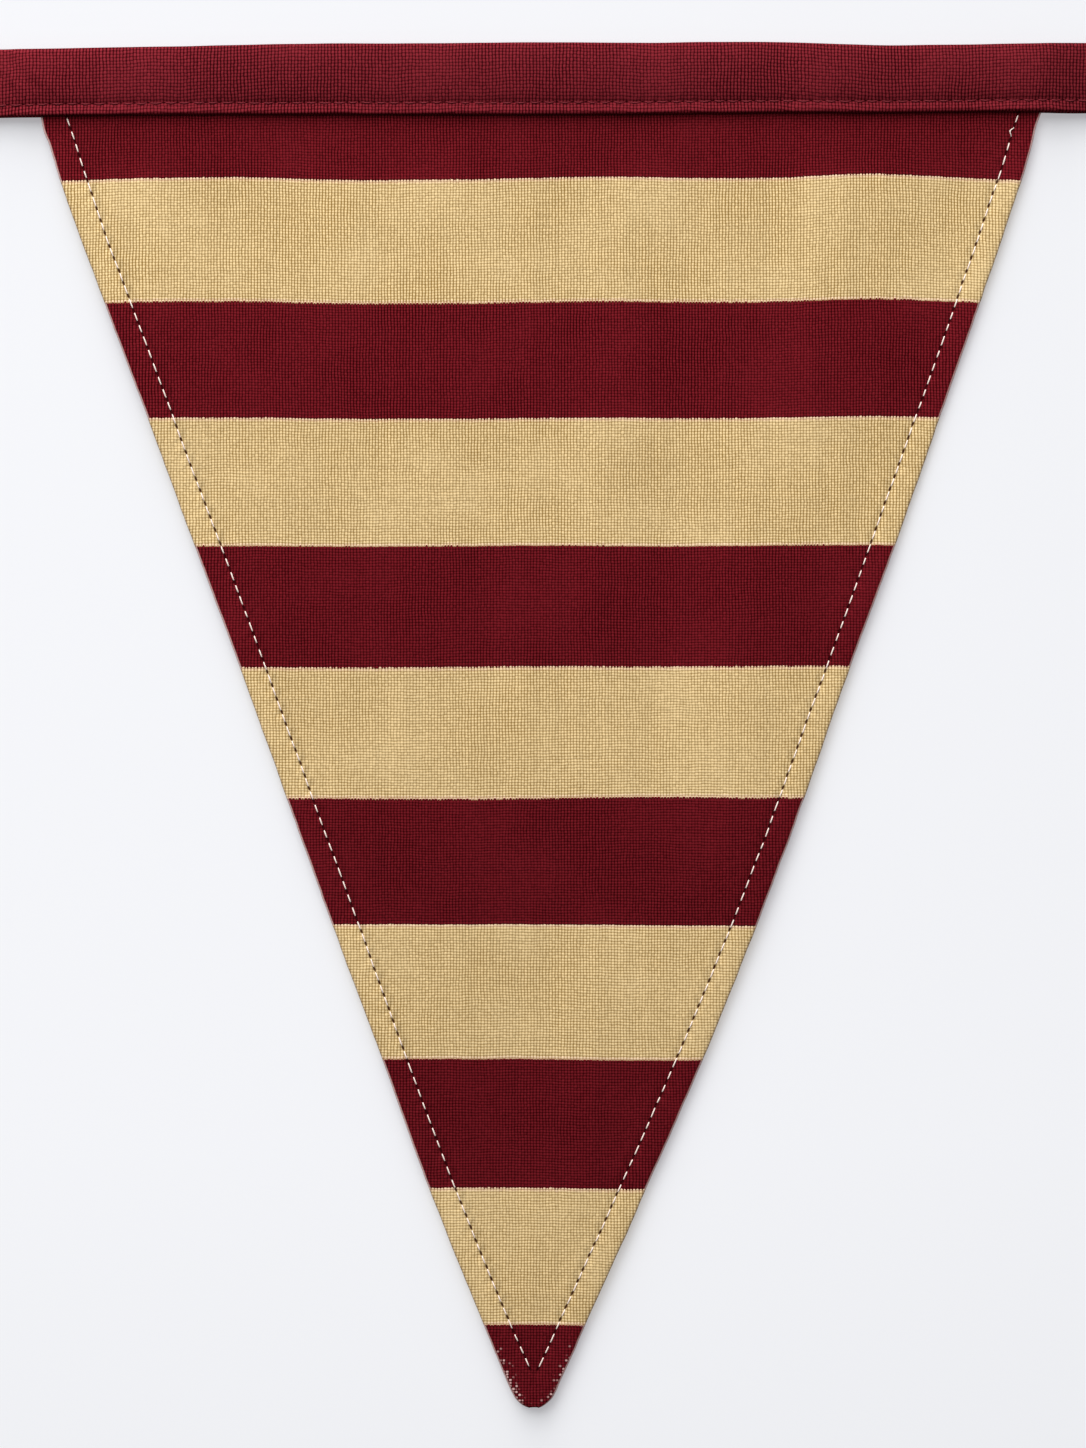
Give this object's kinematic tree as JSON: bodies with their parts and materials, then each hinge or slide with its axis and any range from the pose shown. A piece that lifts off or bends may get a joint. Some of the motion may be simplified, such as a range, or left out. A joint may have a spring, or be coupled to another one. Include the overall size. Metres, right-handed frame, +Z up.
{
  "type": "bunting pennant on a heading tape",
  "caption": "Triangular striped cotton pennant with stitched side hems, its top edge sewn into a folded heading tape, hanging.",
  "frame": {"origin": "middle of the heading tape's top edge, on the plane of the tape's back", "axes": "+Z up, opposite to the way the pennant's tip points; +Y out of the back, so the striped front faces -Y; +X to the viewer's right along the tape"},
  "size_m": [0.236, 0.004, 0.2732],
  "materials": {
    "tape_cotton": "matt plain-weave cotton, burgundy",
    "striped_cotton": "matt plain-weave cotton, burgundy with gold stripes"
  },
  "bodies": {
    "root": {"heading_tape": "tape_cotton", "pennant": "striped_cotton"}
  },
  "joints": []
}
